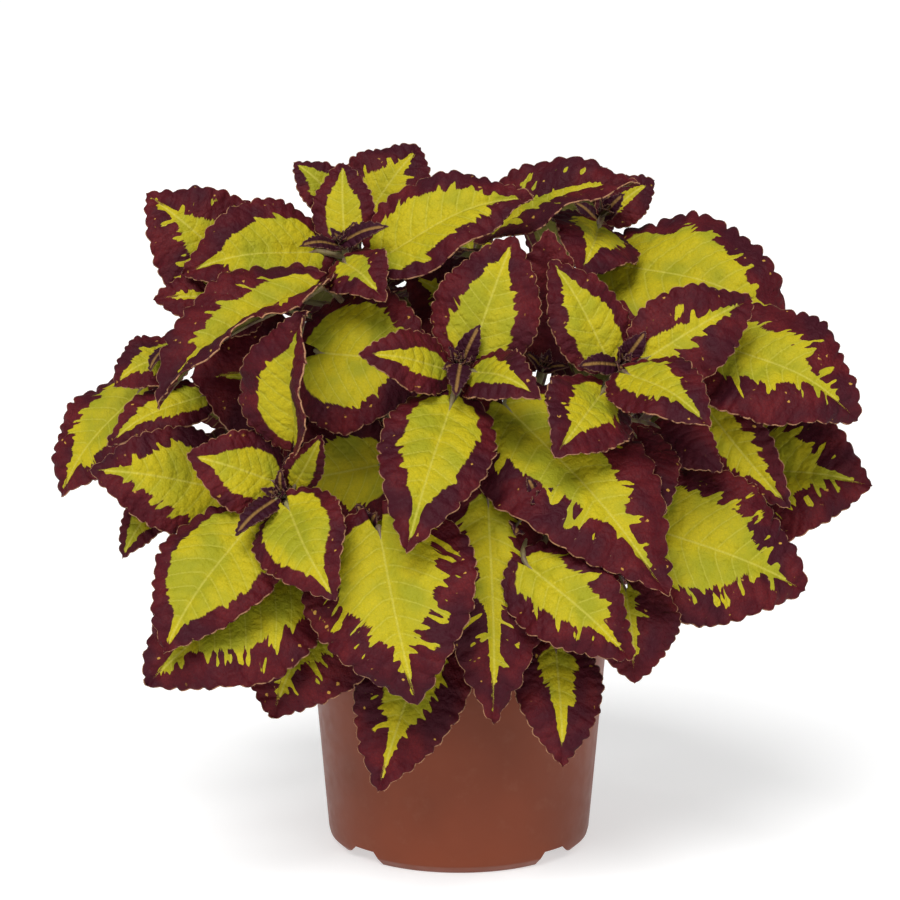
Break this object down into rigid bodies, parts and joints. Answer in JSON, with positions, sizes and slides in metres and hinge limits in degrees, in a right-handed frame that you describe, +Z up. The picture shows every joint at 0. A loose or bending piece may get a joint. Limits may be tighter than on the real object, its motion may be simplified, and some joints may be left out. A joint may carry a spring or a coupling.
{
  "type": "potted coleus plant",
  "caption": "Bushy coleus with scalloped maroon and lime leaves on leafy shoots, standing in compost in a tapered nursery pot with drainage channels.",
  "frame": {"origin": "middle of the pot's flat underside, on the surface that it stands on", "axes": "+Z up; +Y from the pictured side of the plant to its far side, along the pot's drainage channels; +X to the right"},
  "size_m": [0.3391, 0.2725, 0.2947],
  "materials": {
    "pot": "satin",
    "compost": "rough, crumbly",
    "foliage": "soft, finely hairy"
  },
  "bodies": {
    "root": {"pot": "pot", "compost": "compost", "shoot_crown": "foliage", "shoot_front": "foliage", "shoot_right": "foliage", "shoot_left": "foliage", "shoot_crown_right": "foliage", "shoot_left_side": "foliage", "shoot_right_side": "foliage", "shoot_front_low_left": "foliage", "shoot_front_low_right": "foliage", "shoot_crown_middle": "foliage", "shoot_heart_left": "foliage", "shoot_heart_right": "foliage", "shoot_back_crown_left": "foliage", "shoot_back_crown_right": "foliage", "shoot_back": "foliage", "shoot_back_left": "foliage", "shoot_back_right": "foliage", "shoot_back_low_left": "foliage", "shoot_back_low_right": "foliage", "shoot_back_low": "foliage"}
  },
  "joints": []
}
